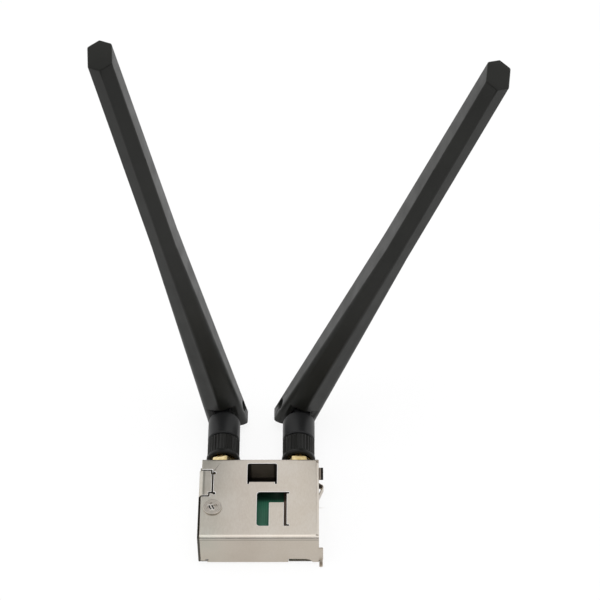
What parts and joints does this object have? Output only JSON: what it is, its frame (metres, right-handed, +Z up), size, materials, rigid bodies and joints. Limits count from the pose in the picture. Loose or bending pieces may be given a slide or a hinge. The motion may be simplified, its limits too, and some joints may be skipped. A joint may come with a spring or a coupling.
{
  "type": "wifi card",
  "caption": "Wireless network card in a small folded steel bracket, with knurled screw-on swivel antennas hinged behind its rear wall and a plug edge open at its side.",
  "frame": {"origin": "middle of the bracket's flat bottom face", "axes": "+Z up out of the top plate, +Y towards the rear wall with the antenna jacks, +X towards the plug side"},
  "size_m": [0.1179, 0.064, 0.1649],
  "materials": {
    "plated_steel": "warm grey zinc plate, fine rolled grain",
    "black_film": "matt black polyester film",
    "green_board": "green solder mask",
    "tin_can": "tinned sheet",
    "gold_plate": "bright gold plate",
    "turned_brass": "turned brass",
    "screw_steel": "plated screw steel",
    "pin_steel": "drawn steel",
    "white_insulator": "white dielectric",
    "nut_plastic": "black moulded plastic",
    "antenna_plastic": "black moulded plastic, fine texture"
  },
  "bodies": {
    "bracket": {"bracket_cover": "plated_steel", "bracket_tray": "plated_steel", "insulating_film": "black_film", "card_board": "green_board", "card_shield": "tin_can", "card_front_socket": "gold_plate", "card_rear_socket": "gold_plate", "card_screw": "screw_steel", "card_standoff": "turned_brass", "card_spacer": "turned_brass", "left_jack_body": "gold_plate", "left_jack_insulator": "white_insulator", "left_jack_contact": "gold_plate", "left_lock_washer": "gold_plate", "left_hex_nut": "gold_plate", "right_jack_body": "gold_plate", "right_jack_insulator": "white_insulator", "right_jack_contact": "gold_plate", "right_lock_washer": "gold_plate", "right_hex_nut": "gold_plate"},
    "left_nut": {"left_coupling_sleeve": "nut_plastic", "left_coupling_insert": "turned_brass"},
    "left_base": {"left_ferrule": "turned_brass", "left_centre_pin": "gold_plate", "left_antenna_base": "antenna_plastic"},
    "left_blade": {"left_hinge_pin": "pin_steel", "left_antenna_paddle": "antenna_plastic"},
    "right_nut": {"right_coupling_sleeve": "nut_plastic", "right_coupling_insert": "turned_brass"},
    "right_base": {"right_ferrule": "turned_brass", "right_centre_pin": "gold_plate", "right_antenna_base": "antenna_plastic"},
    "right_blade": {"right_hinge_pin": "pin_steel", "right_antenna_paddle": "antenna_plastic"}
  },
  "joints": [
    {"name": "left_nut_turn", "type": "hinge", "parent": "bracket", "child": "left_nut", "pos_m": [-0.01185, 0.0155, 0.0076], "axis": [0, 1, 0], "continuous": true},
    {"name": "left_swivel", "type": "hinge", "parent": "bracket", "child": "left_base", "pos_m": [-0.01185, 0.0155, 0.0076], "axis": [0, 1, 0], "range_deg": [-169.1, 10.9]},
    {"name": "left_fold", "type": "hinge", "parent": "left_base", "child": "left_blade", "pos_m": [-0.01185, 0.0411, 0.0076], "axis": [-0.982, 0, -0.1891], "range_deg": [0, 90]},
    {"name": "right_nut_turn", "type": "hinge", "parent": "bracket", "child": "right_nut", "pos_m": [0.01245, 0.0155, 0.0076], "axis": [0, 1, 0], "continuous": true},
    {"name": "right_swivel", "type": "hinge", "parent": "bracket", "child": "right_base", "pos_m": [0.01245, 0.0155, 0.0076], "axis": [0, 1, 0], "range_deg": [-21, 159]},
    {"name": "right_fold", "type": "hinge", "parent": "right_base", "child": "right_blade", "pos_m": [0.01245, 0.0411, 0.0076], "axis": [-0.9336, 0, 0.3584], "range_deg": [0, 90]}
  ]
}
